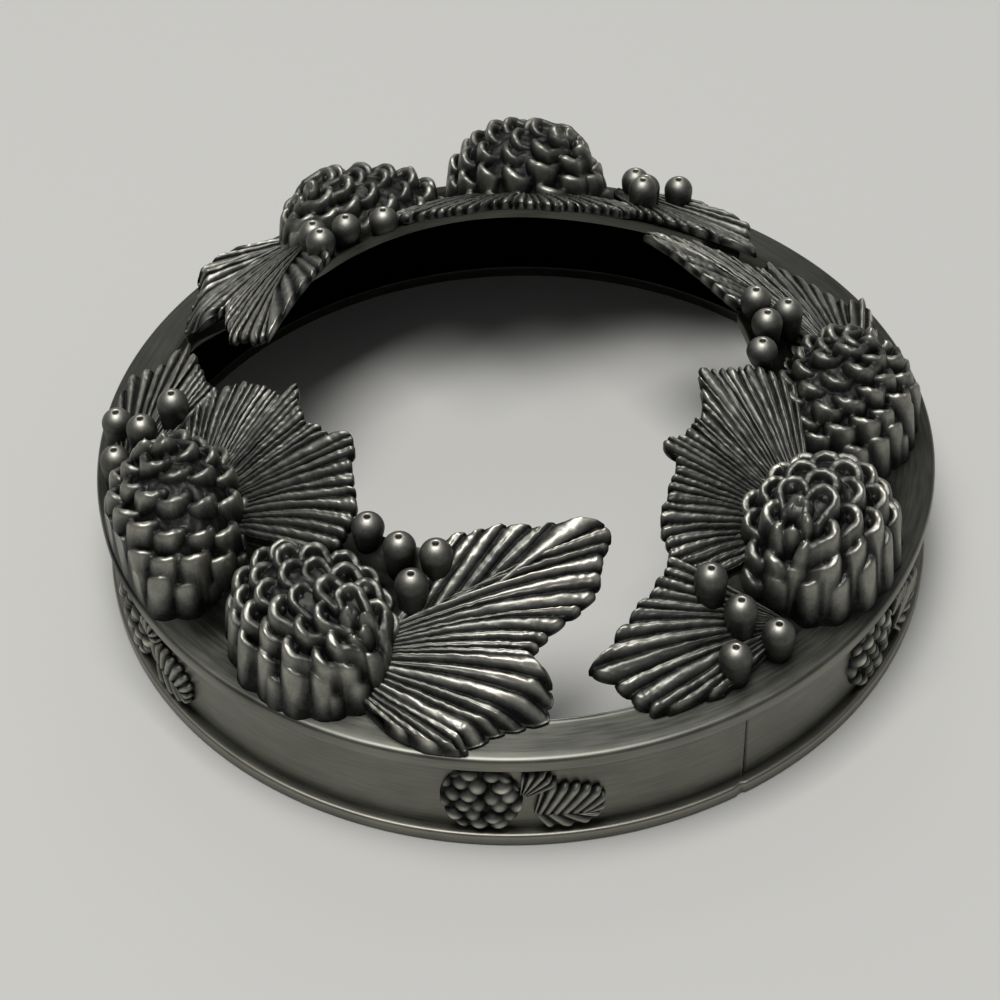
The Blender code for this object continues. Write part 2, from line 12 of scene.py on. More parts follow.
import bpy
import numpy as np
from math import atan2, cos, degrees, pi, radians, sin
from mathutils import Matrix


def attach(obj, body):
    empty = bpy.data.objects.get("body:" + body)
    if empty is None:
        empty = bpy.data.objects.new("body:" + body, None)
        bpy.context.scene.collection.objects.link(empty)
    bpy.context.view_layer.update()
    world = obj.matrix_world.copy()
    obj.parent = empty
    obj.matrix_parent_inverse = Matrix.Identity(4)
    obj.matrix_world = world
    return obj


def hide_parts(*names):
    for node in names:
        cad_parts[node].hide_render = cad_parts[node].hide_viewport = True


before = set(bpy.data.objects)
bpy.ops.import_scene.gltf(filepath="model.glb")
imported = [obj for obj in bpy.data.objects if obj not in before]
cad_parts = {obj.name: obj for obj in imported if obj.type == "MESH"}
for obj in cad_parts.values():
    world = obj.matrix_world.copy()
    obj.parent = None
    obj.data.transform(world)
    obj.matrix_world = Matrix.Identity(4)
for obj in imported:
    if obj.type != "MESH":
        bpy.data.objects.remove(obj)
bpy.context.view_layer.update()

# %% [markdown]
# ## The ring's sizes
#
# The sizes of the part's source, in metres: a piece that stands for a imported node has
# to lie where that node is. The plate is the ground of the clusters. Rays could find it
# under each point, but a short formula gives its height for whole arrays at once.

# %% Sizes of the ring
MM = 0.001
BAND_INSIDE, BAND_OUTSIDE = 50.0 * MM, 51.6 * MM
LIP, LIP_TOP, LIP_BOTTOM = 53.0 * MM, 15.4 * MM, 13.4 * MM
SHELF_EDGE, SHELF_TOP = 48.0 * MM, 16.0 * MM
FOOT_TOP, PLATE_WALL = 1.75 * MM, 1.6 * MM
SEAM_ANGLE, STOP_ANGLES = 299.5, (71.0, 191.0, 311.0)
# the radius of the clusters' pattern and, for each cluster, the angle of its middle,
# the slope of the plate under it and how far it is drawn in from that radius
PATTERN = 44.0 * MM
CLUSTERS = (220.0, 341.8, 461.7)
SLOPES = (0.66, 0.585, 0.67)
INSETS = (0.0, 2.0 * MM, -0.4 * MM)


def spot_on_ring(angle, radius=1.0):
    """Point at a radius and an angle in degrees, as (x, y)."""
    turn = np.radians(angle)
    return np.stack((radius * np.cos(turn), radius * np.sin(turn)), -1)


def turned(angle, middle):
    """How far an angle lies past a middle one, in degrees from -180 to 180."""
    return (angle - middle + 180.0) % 360.0 - 180.0


def bed_height(plan, cluster=None):
    """Top of the plate at (x, y): a near-flat shelf inside the lip, then a climb.

    The climb's slope is the given cluster's, or that of the nearest one.
    """
    x, y = plan[..., 0], plan[..., 1]
    radius = np.hypot(x, y)
    if cluster is None:
        angle = np.degrees(np.arctan2(y, x))
        away = [np.abs(turned(angle, middle)) for middle in CLUSTERS]
        slope = np.asarray(SLOPES)[np.argmin(away, axis=0)]
    else:
        slope = SLOPES[cluster]
    shelf = LIP_TOP + (LIP - radius) * (SHELF_TOP - LIP_TOP) / (LIP - SHELF_EDGE)
    climb = SHELF_TOP + slope * (SHELF_EDGE - radius)
    return np.where(radius > SHELF_EDGE, shelf, climb)


print(len(CLUSTERS), "clusters on a radius of", PATTERN / MM, "mm")

# %% [markdown]
# ## From a grid to a mesh
#
# Every piece is a lattice of points: its quads are listed, its ends closed, and whole
# arrays fill the mesh. A closed surface whose faces point outwards holds a positive
# volume, so the sign of the volume says whether to turn them round.

# %% Helpers for the faces of a lattice
def lattice(rows, columns, round_rows=False, round_columns=False, first=0):
    """Quads of a lattice of rows x columns points; either way may close on itself."""
    row = np.arange(rows if round_rows else rows - 1)[:, None]
    column = np.arange(columns if round_columns else columns - 1)[None, :]
    below, ahead = (row + 1) % rows, (column + 1) % columns
    quads = (row * columns + column, row * columns + ahead,
             below * columns + ahead, below * columns + column)
    return first + np.stack(quads, -1).reshape(-1, 4)


def ended(rows, columns, first=0):
    """Faces of a lattice whose rows form a loop, with one large face at each end."""
    end = first + np.arange(rows)[None, :] * columns
    return [lattice(rows, columns, True, False, first), end[:, ::-1], end + columns - 1]


def cap(loop, centre):
    """Triangles from one point to each side of a closed loop of points."""
    return np.stack((loop, np.roll(loop, -1), np.full(len(loop), centre)), -1)


def capped(rows, columns):
    """Faces of a lattice that closes on itself sideways, with a cap at each end.

    The caps' middle points, the first row's and the last row's, follow the lattice's.
    """
    ring, count = np.arange(columns), rows * columns
    return [lattice(rows, columns, False, True), cap(ring, count)[:, ::-1],
            cap(ring + count - columns, count + 1)]


def raised(plan, height):
    """Points at heights above a plan of (x, y)."""
    return np.concatenate((plan, height[..., None]), -1)


def volume(points, faces):
    """Six times the volume: every face is split into triangles seen from the middle."""
    points = points - points.mean(axis=0)
    total = 0.0
    for group in faces:
        for corner in range(1, group.shape[1] - 1):
            a, b, c = (points[group[:, k]] for k in (0, corner, corner + 1))
            total += np.einsum("ij,ij->i", a, np.cross(b, c)).sum()
    return total


# %% From points and faces to a piece
def make_piece(name, points, faces, metal, stands_for, wear_and_shade):
    """Mesh object from points, groups of faces and each point's wear and painted shade,
    on root.
    """
    points = points.reshape(-1, 3)
    if volume(points, faces) < 0:
        faces = [group[:, ::-1] for group in faces]
    mesh = bpy.data.meshes.new(name)
    sides = np.concatenate([np.full(len(group), group.shape[1]) for group in faces])
    corners = np.concatenate([group.ravel() for group in faces])
    mesh.vertices.add(len(points))
    mesh.vertices.foreach_set("co", points.astype(np.float32).ravel())
    mesh.loops.add(len(corners))
    mesh.loops.foreach_set("vertex_index", corners.astype(np.int32))
    mesh.polygons.add(len(sides))
    mesh.polygons.foreach_set("loop_start", (np.cumsum(sides) - sides).astype(np.int32))
    layer = mesh.attributes.new("wear_and_shade", "FLOAT", "POINT")
    layer.data.foreach_set("value", np.asarray(wear_and_shade, dtype=np.float32).ravel())
    mesh.update(calc_edges=True)
    mesh.polygons.foreach_set("use_smooth", np.ones(len(sides), dtype=bool))
    mesh.materials.append(metal)
    piece = bpy.data.objects.new(name, mesh)
    bpy.context.scene.collection.objects.link(piece)
    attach(piece, "root")
    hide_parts(stands_for)
    print(name, "has", len(sides), "faces")


# %% [markdown]
# ## Shader maths written as expressions
#
# A small class wraps a node's socket, so that wear * 0.5 + grain adds the Math nodes by
# itself. One method adds any other node. Placed singly, they would hide the formula.

# %% A class for shader maths
class Term:
    """One socket of a node tree, with arithmetic on it."""

    def __init__(self, tree, socket):
        self.tree, self.socket = tree, socket

    def node(self, kind, settings=None, output=0, **inputs):
        """Add a node: settings first, then its inputs, by name or as i and a number."""
        node = self.tree.nodes.new("ShaderNode" + kind)
        for label, value in (settings or {}).items():
            setattr(node, label, value)
        for label, value in inputs.items():
            place = node.inputs[int(label[1:]) if label[0] == "i" else label]
            if isinstance(value, Term):
                self.tree.links.new(value.socket, place)
            else:
                place.default_value = value
        return Term(self.tree, node.outputs[output])

    def maths(self, operation, other=0.0, clamp=False):
        """One Math node on this value and another."""
        settings = {"operation": operation, "use_clamp": clamp}
        return self.node("Math", settings, i0=self, i1=other)

    __add__ = __radd__ = lambda self, other: self.maths("ADD", other)
    __sub__ = lambda self, other: self.maths("SUBTRACT", other)
    __rsub__ = lambda self, other: (self * -1.0).maths("ADD", other)
    __mul__ = __rmul__ = lambda self, other: self.maths("MULTIPLY", other)
    __truediv__ = lambda self, other: self.maths("DIVIDE", other)
    __pow__ = lambda self, other: self.maths("POWER", other)

    def clipped(self):
        """The value held between 0 and 1."""
        return self.maths("ADD", 0.0, clamp=True)

    def ramp(self, *stops):
        """Colour ramp on the value, from stops of (place, colour)."""
        shades = self.node("ValToRGB", Fac=self)
        elements = shades.socket.node.color_ramp.elements
        while len(elements) < len(stops):
            elements.new(0.5)
        for element, (place, shade) in zip(elements, stops):
            element.position, element.color = place, shade
        return shades


# %% A colour and an empty metal
def colour(red, green, blue):
    """A colour as it is read from a picture, 0 to 255, made linear for the shader."""
    return tuple((c / 255 / 12.92) if c < 10.3 else ((c / 255 + 0.055) / 1.055) ** 2.4
                 for c in (red, green, blue)) + (1.0,)


def new_metal(name):
    """Empty metal with its shader, a Term on the place of each point, and its wear and
    shade.
    """
    metal = bpy.data.materials.new(name)
    metal.use_nodes = True
    tree = metal.node_tree
    shader = tree.nodes["Principled BSDF"]
    shader.inputs["Metallic"].default_value = 1.0
    place = Term(tree, tree.nodes.new("ShaderNodeTexCoord").outputs["Object"])
    return metal, shader, place, place.node("Attribute", {"attribute_name": "wear_and_shade"}, 2)


def finish(shader, tone, rough, bump):
    """Link colour, roughness and bump to a shader."""
    for term, label in ((tone, "Base Color"), (rough, "Roughness"), (bump, "Normal")):
        term.tree.links.new(term.socket, shader.inputs[label])

# %% [markdown]
# ## Antique pewter
#
# Pewter castings are blackened all over, then rubbed, so the metal is bright on the
# crests and the black stays in the hollows. The meshes carry that as a value per point,
# from 0 in a hollow to 1 on a crest. In the pinecones it also holds painted shade in
# the gaps between the scales. Noise breaks it up as a polishing cloth would. A node
# that senses hollows would do this by itself, but it isn't kept by an export.

# %% Metal of the castings
def darkened_pewter():
    """Black patina in the hollows, rubbed bright on the crests, and painted shade in
    the pinecones' gaps.
    """
    metal, shader, place, wear_and_shade = new_metal("darkened_pewter")
    cloud = place.node("TexNoise", Vector=place, Scale=420.0, Detail=3.0)
    grain = place.node("TexNoise", Vector=place, Scale=2600.0, Detail=2.0)
    # Wear and patina set the colour, together with the painted shade in the pinecones'
    # gaps.
    rubbed_and_shaded = (wear_and_shade + (cloud - 0.5) * 0.35 + (grain - 0.5) * 0.18).clipped()
    tone = rubbed_and_shaded.ramp((0.0, colour(38, 39, 38)), (0.35, colour(100, 101, 96)),
                       (0.65, colour(156, 155, 146)), (1.0, colour(216, 211, 198)))
    rough = 0.6 - rubbed_and_shaded * 0.16
    bump = place.node("Bump", Strength=0.35, Distance=0.07 * MM,
                      Height=grain * 0.6 + cloud)
    finish(shader, tone, rough, bump)
    return metal


castings = darkened_pewter()
print("castings:", len(castings.node_tree.nodes), "nodes")


# %% Metal of the plate, the collar and the flange
def brushed_pewter():
    """A greenish grey with fine scratches round the ring.

    The scratches are noise that runs fast with radius and height and slowly round.
    """
    metal, shader, place, wear_and_shade = new_metal("brushed_pewter")
    x, y, z = (place.node("SeparateXYZ", {}, axis, Vector=place) for axis in range(3))
    radius = (x * x + y * y) ** 0.5
    lines = place.node("CombineXYZ", X=(radius + z) * 3200.0,
                       Y=x / radius * 9.0, Z=y / radius * 9.0)
    scratch = place.node("TexNoise", Vector=lines, Scale=1.0, Detail=3.0)
    cloud = place.node("TexNoise", Vector=place, Scale=130.0, Detail=4.0)
    rubbed_and_shaded = (wear_and_shade + (cloud - 0.5) * 0.16 + (scratch - 0.5) * 0.2).clipped()
    tone = rubbed_and_shaded.ramp((0.0, colour(5, 5, 5)), (0.12, colour(40, 41, 38)),
                       (0.4, colour(112, 112, 104)), (1.0, colour(206, 201, 187)))
    black = (1.0 - rubbed_and_shaded * 5.0).clipped()
    rough = 0.37 + (scratch - 0.5) * 0.16 + black * 0.35 + rubbed_and_shaded * 0.06
    bump = place.node("Bump", Strength=0.25, Distance=0.03 * MM, Height=scratch)
    finish(shader, tone, rough, bump)
    return metal


sheet = brushed_pewter()
print("sheet:", len(sheet.node_tree.nodes), "nodes")

# %% [markdown]
# ## The flange and the collar
#
# Each is one section, a list of corners with a rounding at each, repeated round the
# ring. The real parts are strips bent round a mandrel. Blender's Screw modifier could
# turn a plain section, but not one that changes on its way round.

# %% Sections with rounded corners
def even(section, count):
    """The same section, a list of (radius, height), at every angle."""
    return np.repeat(np.asarray(section, dtype=float)[:, None], count, axis=1)


def rounded(corners, radii, steps=5):
    """Closed loop of a section whose corners are rounded, one array for all angles.

    Each corner is replaced by a quadratic curve that starts and ends at its rounding's
    distance along its two sides. Corners have shape (corner, angle, 2).
    """
    corners = np.asarray(corners, dtype=float)
    before = np.roll(corners, 1, axis=0) - corners
    after = np.roll(corners, -1, axis=0) - corners
    reach = np.asarray(radii, dtype=float)[:, None, None]
    start = corners + before / np.linalg.norm(before, axis=-1, keepdims=True) * reach
    end = corners + after / np.linalg.norm(after, axis=-1, keepdims=True) * reach
    t = np.linspace(0, 1, steps)[None, :, None, None]
    start, end, mid = start[:, None], end[:, None], corners[:, None]
    curve = (1 - t) ** 2 * start + 2 * t * (1 - t) * mid + t ** 2 * end
    return curve.reshape(-1, corners.shape[1], 2)


def divided(loop, longest):
    """Loop with extra points so that no side is longer than longest, at any angle."""
    rows = []
    for here, ahead in zip(loop, np.roll(loop, -1, axis=0)):
        side = ahead - here
        parts = max(int(np.ceil(np.linalg.norm(side, axis=-1).max() / longest)), 1)
        rows += [here + side * part / parts for part in range(parts)]
    return np.array(rows)


def swept(loop, angles):
    """Points of a section loop, (radius, height) at each angle, round the ring."""
    around = spot_on_ring(angles)
    radius, height = loop[..., 0], loop[..., 1]
    return np.stack((radius * around[:, 0], radius * around[:, 1], height), -1)


# %% The foot flange, with a nick beside the seam
RING_STEPS = 720
NICK_ANGLE, NICK_HALF, NICK_DEEP = SEAM_ANGLE - 1.2, 0.35, 0.35 * MM
ring_angles = np.arange(RING_STEPS) * 360.0 / RING_STEPS
foot_section = even([(BAND_INSIDE, 0.0), (LIP, 0.0), (LIP, FOOT_TOP),
                     (BAND_INSIDE, FOOT_TOP)], RING_STEPS)
nick = NICK_DEEP * np.exp(-(turned(ring_angles, NICK_ANGLE) / NICK_HALF) ** 2)
foot_section[1:3, :, 0] -= nick
foot_rounding = np.array((0.2, 0.35, 0.5, 0.2)) * MM
foot_loop = divided(rounded(foot_section, foot_rounding), 0.5 * MM)
outer = np.clip((foot_loop[..., 0] - BAND_OUTSIDE) / (1.2 * MM), 0, 1)
upper = np.clip(foot_loop[..., 1] / FOOT_TOP, 0, 1)
make_piece("flange", swept(foot_loop, ring_angles),
           [lattice(*foot_loop.shape[:2], True, True)], sheet, "foot_flange",
           0.33 + 0.27 * outer * upper)

# %% The collar with its seam and jar stops
SEAM_GAP, OVERLAP, COLLAR_ROUNDING = 0.12 * MM, 0.1 * MM, 0.15 * MM
STOP_HALF, STOP_EDGE = 2.55, 0.35
STOP_FOOT, STOP_SLOPE, STOP_PROUD = 9.1 * MM, 0.5 * MM, 1.0 * MM
seam_half = degrees(SEAM_GAP / 2 / BAND_OUTSIDE)
band_angles = np.linspace(SEAM_ANGLE + seam_half, SEAM_ANGLE + 360.0 - seam_half,
                          RING_STEPS + 1)
band_low, band_high = FOOT_TOP - OVERLAP, LIP_BOTTOM + OVERLAP
band_section = even([(BAND_INSIDE, band_low), (BAND_OUTSIDE, band_low),
                     (BAND_OUTSIDE, band_high), (BAND_INSIDE, band_high)],
                    len(band_angles))
band_loop = divided(rounded(band_section, (COLLAR_ROUNDING,) * 4), 0.6 * MM)
off_stop = np.min([np.abs(turned(band_angles, stop)) for stop in STOP_ANGLES], axis=0)
stop = np.clip((STOP_HALF - off_stop) / STOP_EDGE, 0, 1)
up = np.clip((band_loop[..., 1] - STOP_FOOT) / STOP_SLOPE, 0, 1)
inside = np.clip((BAND_INSIDE + 0.2 * MM - band_loop[..., 0]) / (0.2 * MM), 0, 1)
band_loop[..., 0] -= STOP_PROUD * stop * up * inside
outside = np.clip((band_loop[..., 0] - 50.5 * MM) / MM, 0, 1)
make_piece("collar", swept(band_loop, band_angles), ended(*band_loop.shape[:2]), sheet,
           "collar_band", 0.48 * outside - 0.06)

# %% [markdown]
# ## The clusters' own directions
#
# A cluster is drawn once, in its own plan: across runs out from its middle line, and
# along runs round the ring. Three turns place it on the topper. Copies of one object
# would do for alike clusters, but each has its own slope and shift here.

# %% Cluster plan
def cluster_point(cluster, across, along):
    """Plan position of a cluster's own (across, along) coordinates."""
    out = spot_on_ring(CLUSTERS[cluster])
    side = spot_on_ring(CLUSTERS[cluster] + 90.0)
    across, along = np.asarray(across)[..., None], np.asarray(along)[..., None]
    return out * (PATTERN - INSETS[cluster] + across) + side * along


def within_lip(plan):
    """Plan positions, drawn in where they would hang over the lip."""
    reach = np.linalg.norm(plan, axis=-1, keepdims=True)
    return plan * np.minimum(1.0, (LIP - 0.3 * MM) / np.maximum(reach, 1e-9))


print("middle of cluster A, mm:", np.round(cluster_point(0, 0.0, 0.0) / MM, 2))

# %% [markdown]
# ## The top plate
#
# The plate is dished and thin, and its opening is drawn in under each cluster. Cutting
# that out of a turned plate would leave ragged triangles, so the section's inner
# corners move in and out on the way round.

# %% The plate's inner edge
GAP_EDGE, SADDLE_EDGE = LIP - 5.4 * MM, LIP - 21.0 * MM
SADDLE_START, SADDLE_END = 41.5 * MM, 40.8 * MM
SADDLE_STEP, STEP_SHARE = 1.8 * MM, 0.35
EASE_START, EASE_END = 26.0 * MM, 15.0 * MM


def opening_radius(angle):
    """Radius of the plate's inner edge: wide in the gaps, drawn in under each cluster.

    From each end of a saddle it comes in by a short step, then by a quarter sine wave.
    """
    radius = np.full(np.shape(angle), GAP_EDGE)
    for inset, middle in zip(INSETS, CLUSTERS):
        arc = np.radians(turned(angle, middle)) * PATTERN
        left = np.where(arc > 0, SADDLE_END, SADDLE_START) - np.abs(arc)
        ease = np.where(arc > 0, EASE_END, EASE_START)
        part = (STEP_SHARE * np.clip(left / SADDLE_STEP, 0, 1)
                + (1 - STEP_SHARE) * np.sin(np.clip(left / ease, 0, 1) * pi / 2))
        drawn_in = GAP_EDGE - part * (GAP_EDGE - SADDLE_EDGE + inset)
        radius = np.where(left > 0, drawn_in, radius)
    return radius


ends = [middle + degrees(arc / PATTERN)
        for middle in CLUSTERS for arc in (-SADDLE_START, SADDLE_END)]
near_ends = np.concatenate([end + np.linspace(-1.5, 1.5, 25) for end in ends])
plate_angles = np.sort(np.concatenate((ring_angles, near_ends)) % 360.0)
edge = opening_radius(plate_angles)
print("plate's opening, mm:", np.round([edge.min() / MM, edge.max() / MM], 2))

# %% The plate's surface
edge_height = bed_height(edge[:, None] * spot_on_ring(plate_angles))
one = np.ones(len(plate_angles))
plate_section = np.array([
    (LIP * one, LIP_TOP * one), (SHELF_EDGE * one, SHELF_TOP * one),
    (edge, edge_height), (edge, edge_height - PLATE_WALL),
    ((SHELF_EDGE - 0.8 * MM) * one, LIP_BOTTOM * one), (LIP * one, LIP_BOTTOM * one),
]).transpose(0, 2, 1)
plate_rounding = np.array((0.7, 0.18, 0.18, 0.18, 0.15, 0.5)) * MM
plate_loop = divided(rounded(plate_section, plate_rounding, 6), 0.9 * MM)
plate_points = swept(plate_loop, plate_angles)
print("plate, points:", plate_points.shape[:2])

# %% The plate, with its wear
# radius, across and along, in mm, of the spots round a cluster where the plate is
# darker
DARK_CORNERS = ((10.4, -1.4, -12.6), (9.6, -3.2, 11.6), (4.5, -4.5, -25.5),
                (3.5, -8.5, -29.0), (4.5, -6.0, 17.0), (4.0, -11.0, 16.0),
                (5.0, -5.0, 0.0), (4.2, 2.6, -0.6))
DARK_SPOT_EDGE = 0.9 * MM
lip_wear = np.clip((plate_loop[..., 0] - (LIP - 0.9 * MM)) / (0.7 * MM), 0, 1)
under = plate_loop[..., 1] < LIP_BOTTOM + 0.2 * MM
corner = np.zeros(plate_loop.shape[:2])
for cluster in range(len(CLUSTERS)):
    for spot, across, along in DARK_CORNERS:
        away = plate_points[..., :2] - cluster_point(cluster, across * MM, along * MM)
        past = (np.linalg.norm(away, axis=-1) - spot * MM) / DARK_SPOT_EDGE
        corner = np.maximum(corner, 1 / (1 + np.exp(past)))
wear_and_shade = np.where(under, 0.0, (0.28 + 0.18 * lip_wear) * (1 - 0.85 * corner))
make_piece("plate", plate_points, [lattice(*plate_loop.shape[:2], True, True)], sheet,
           "top_plate", wear_and_shade)

# %% [markdown]
# ## Hand-cut unevenness
#
# A pattern for a casting is carved by hand, so nothing on it is quite regular. A sum of
# waves in scattered directions gives a smooth unevenness, the same on every run. Random
# moves of single points would only look rough.

# %% Chances, and unevenness from scattered waves
WAVES = 9


def chances(seed, *shape):
    """Repeatable random numbers from -1 to 1."""
    return np.random.default_rng(seed).uniform(-1, 1, shape)


def unevenness(points, length, seed):
    """Sum of sine waves in scattered directions, about -1 to 1, of one wave length."""
    chance = np.random.default_rng(seed)
    ways = chance.normal(size=(WAVES, 3))
    ways *= (2 * pi / length) * chance.uniform(0.7, 1.4, (WAVES, 1)) / np.linalg.norm(
        ways, axis=1, keepdims=True)
    total = np.zeros(points.shape[:-1])
    for way, start in zip(ways, chance.uniform(0, 2 * pi, WAVES)):
        total += np.sin(points @ way + start)
    return total / 4.0

# %% [markdown]
# ## Pinecones
#
# Each open pinecone leans its tip up, and its scales stand round the tip in a golden-
# angle spiral. A scale is a bent tongue: a horseshoe rim away from the tip, rubbed
# bright, with a dark dish inside. Copies of one scale would leave gaps and hidden
# faces. A mould that opens upwards leaves no undercuts, so the casting is one height
# over the plan: the highest of the scales and the body there, with softened joins.

# %% Where the scales stand
CONE_PLACES = ((-1.4 * MM, -11.814 * MM), (-3.2 * MM, 10.939 * MM))
CONE_HEADINGS = (-119.0, 86.0)
CONE_TILTS = (50.0, 36.0)
# how far each cone's tip points past its outline's long axis, for clusters a, b and c
TIP_TURNS = ((24.0, 24.0, 24.0), (12.0, -20.0, 0.0))
CONE_TOPS = (30.6 * MM, 28.6 * MM)
CONE_LONG, CONE_WIDE, CONE_WAIST = 11.5 * MM, 9.0 * MM, 20.8 * MM
CONE_SCALES = (98, 108)
GOLDEN = radians(137.508)


def scale_directions(number, cluster):
    """Directions of a cone's scales on a unit ball, angles from its pole, and the pole.

    Scale i stands i golden angles round the pole, which leans from the upright and
    turns from the cone's long axis.
    """
    count = CONE_SCALES[number]
    index = np.arange(count)
    down = np.arccos(1 - 2 * (index + 0.5) / count)
    spin = GOLDEN * index
    x, y, z = np.sin(down) * np.cos(spin), np.sin(down) * np.sin(spin), np.cos(down)
    lean, turn = radians(CONE_TILTS[number]), radians(TIP_TURNS[number][cluster])
    ahead, height = z * cos(lean) + x * sin(lean), z * sin(lean) - x * cos(lean)
    east, north = ahead * cos(turn) - y * sin(turn), ahead * sin(turn) + y * cos(turn)
    show = height > -0.3
    pole = cos(lean) * np.array((cos(turn), sin(turn)))
    return np.stack((east, north, height), -1)[show], down[show], pole


print("scales on cone A1:", len(scale_directions(0, 0)[0]))

# %% The sizes of the scales
TONGUE_HALF, RIM_HALF = (1.6 * MM, 1.5 * MM), 0.62 * MM
KNOB_ANGLE = 0.5


def cone_crown(number):
    """How far a cone's scales rise above its waist."""
    return CONE_TOPS[number] - 0.3 * MM - CONE_WAIST


def cone_scales(number, cluster):
    """For each scale: direction, aim, half width, rim, dish, top, size, share of knob.

    A scale aims away from the tip and grows away from it. Those at the tip are knobs.
    """
    spots, down, pole = scale_directions(number, cluster)
    chance = chances(40 + 10 * number + cluster, len(spots), 5).T
    aim = (spots[:, :2] - pole) * (CONE_LONG, CONE_WIDE)
    turn = np.arctan2(aim[:, 1], aim[:, 0]) + 0.2 * chance[0]
    size = 0.8 + 0.2 * np.clip(1.3 * np.sin(down) - 0.15, 0, 1)
    knob = np.clip((KNOB_ANGLE - down) / 0.1, 0, 1)
    wide = TONGUE_HALF[number] * size * (1 + 0.11 * chance[1]) * (1 - 0.3 * knob)
    rim = RIM_HALF * (0.85 + 0.15 * size) * (1 + 0.12 * chance[2])
    dish = (0.35 + 0.55 * np.clip(down / 0.9, 0, 1)) * MM * (1 + 0.25 * chance[4])
    top = CONE_WAIST + cone_crown(number) * spots[:, 2] + 0.42 * MM * chance[3]
    top = top + 0.5 * MM * np.clip(1 - spots[:, 2], 0, 1)
    aim = np.stack((np.cos(turn), np.sin(turn)), -1)
    return zip(spots, aim, wide, rim, dish, top, size, knob)


# %% The height of one scale
def steep(distance, slope):
    """Fall that starts at distance 0 and soon runs at a slope."""
    softness = 0.1 * MM
    return slope * softness * np.logaddexp(0, distance / softness)


def scale_height(u, v, spot, aim, wide, rim, dish, top, size, knob):
    """Height of one scale over its cone's plan, and its crest: 1 on the rim, 0 off it.

    The rim is half an ellipse whose ends run on towards the tip. Outside it the height
    drops steeply, inside it sinks into the dish. A knob has a dome and no dish.
    """
    reach = 0.8 * wide
    inset = reach + rim + 0.1 * MM
    du = u - (spot[0] * CONE_LONG - aim[0] * inset)
    dv = v - (spot[1] * CONE_WIDE - aim[1] * inset)
    ahead = du * aim[0] + dv * aim[1]
    aside = np.abs(dv * aim[0] - du * aim[1])
    bend = np.arctan2(aside / wide, np.maximum(ahead, 0) / reach)
    arc_radius = np.hypot(reach * np.cos(bend), wide * np.sin(bend))
    off = np.where(ahead > 0, (np.hypot(ahead / reach, aside / wide) - 1) * arc_radius,
                   aside - wide)
    back = np.maximum(-ahead, 0)
    near = np.abs(off) / rim
    sink = np.clip((-off - 0.5 * rim) / (0.55 * MM), 0, 1)
    fall = dish * sink * sink * (3 - 2 * sink) + steep(off - rim, 9.0)
    dome = np.clip(1 - (ahead ** 2 + aside ** 2) / (1.25 * wide) ** 2, 0, 1) * knob
    fall = fall * (1 - knob * (off < 0)) - 0.9 * MM * dome
    bow = np.where(off > -rim, np.minimum(near, 1.4) ** 2, 0.8)
    height = (top - 0.8 * MM * size * (1 - np.cos(bend)) - 0.34 * back
              - 0.26 * MM * bow - fall
              - steep(back - (1.9 - 1.6 * knob) * wide, 3.0 + 4.0 * knob))
    crest = (np.exp(-(near / 0.95) ** 2) * (1 - 0.45 * np.sin(bend) ** 2)
             * np.exp(-back / (0.9 * MM)) * (1 - 0.5 * knob) + 0.7 * dome)
    return height, crest


# %% The height of a whole pinecone
JOIN, CREST_JOIN = 0.06 * MM, 0.08 * MM
BODY_BELOW, BODY_INSIDE = 1.5 * MM, 1.2 * MM


def soft_highest(stack, softness):
    """Highest of a stack of height fields, with joins rounded over softness."""
    peak = stack.max(axis=0)
    return peak + softness * np.log(np.exp((stack - peak) / softness).sum(axis=0))


def cone_height(number, u, v, cluster):
    """Height of a cone over its own plan (u along its axis, v across), crest and body.

    The body is half an ellipsoid a little below the scales, and steep outside.
    """
    scales = [scale_height(u, v, *scale) for scale in cone_scales(number, cluster)]
    heights, crests = (np.array(fields) for fields in zip(*scales))
    share = np.hypot(u / (CONE_LONG - BODY_INSIDE), v / (CONE_WIDE - BODY_INSIDE))
    body = CONE_WAIST + cone_crown(number) * np.sqrt(np.clip(1 - share ** 2, 0, 1))
    body = body - BODY_BELOW - np.clip(share - 1, 0, None) * 72.0 * MM
    both = np.concatenate((heights, body[None]))
    part = np.exp(np.minimum(heights - both.max(axis=0), 0) / CREST_JOIN)
    crest = (part * crests).sum(axis=0) / np.maximum(part.sum(axis=0), 0.3)
    return soft_highest(both, JOIN), crest, body

# %% The grid of a pinecone
CONE_ROWS, CONE_COLUMNS = 108, 420


def cone_frame(number, cluster):
    """Middle of a cone on the plan, and its directions along and across."""
    heading = CLUSTERS[cluster] + CONE_HEADINGS[number]
    return (cluster_point(cluster, *CONE_PLACES[number]), spot_on_ring(heading),
            spot_on_ring(heading + 90.0))


def cone_plan(number, cluster, share):
    """Grid of a cone at shares of its oval outline: u, v and the plan on the topper."""
    turn = np.arange(CONE_COLUMNS) * 2 * pi / CONE_COLUMNS
    u, v = CONE_LONG * np.cos(turn) * share, CONE_WIDE * np.sin(turn) * share
    middle, along, across = cone_frame(number, cluster)
    return u, v, middle + u[..., None] * along + v[..., None] * across


def cone_reach(number, cluster):
    """Share of the outline at which each ray of the grid comes down to the plate."""
    probe = np.linspace(0.7, 1.16, 116)
    u, v, plan = cone_plan(number, cluster, probe[:, None] * np.ones(CONE_COLUMNS))
    height = cone_height(number, u, v, cluster)[0]
    standing = height > bed_height(plan, cluster)
    last = len(probe) - 1 - np.argmax(standing[::-1], axis=0)
    last = np.where(standing.any(axis=0), last, 0)
    reach = probe[np.minimum(last + 1, len(probe) - 1)]
    return np.max([np.roll(reach, k) for k in range(-3, 4)], axis=0)


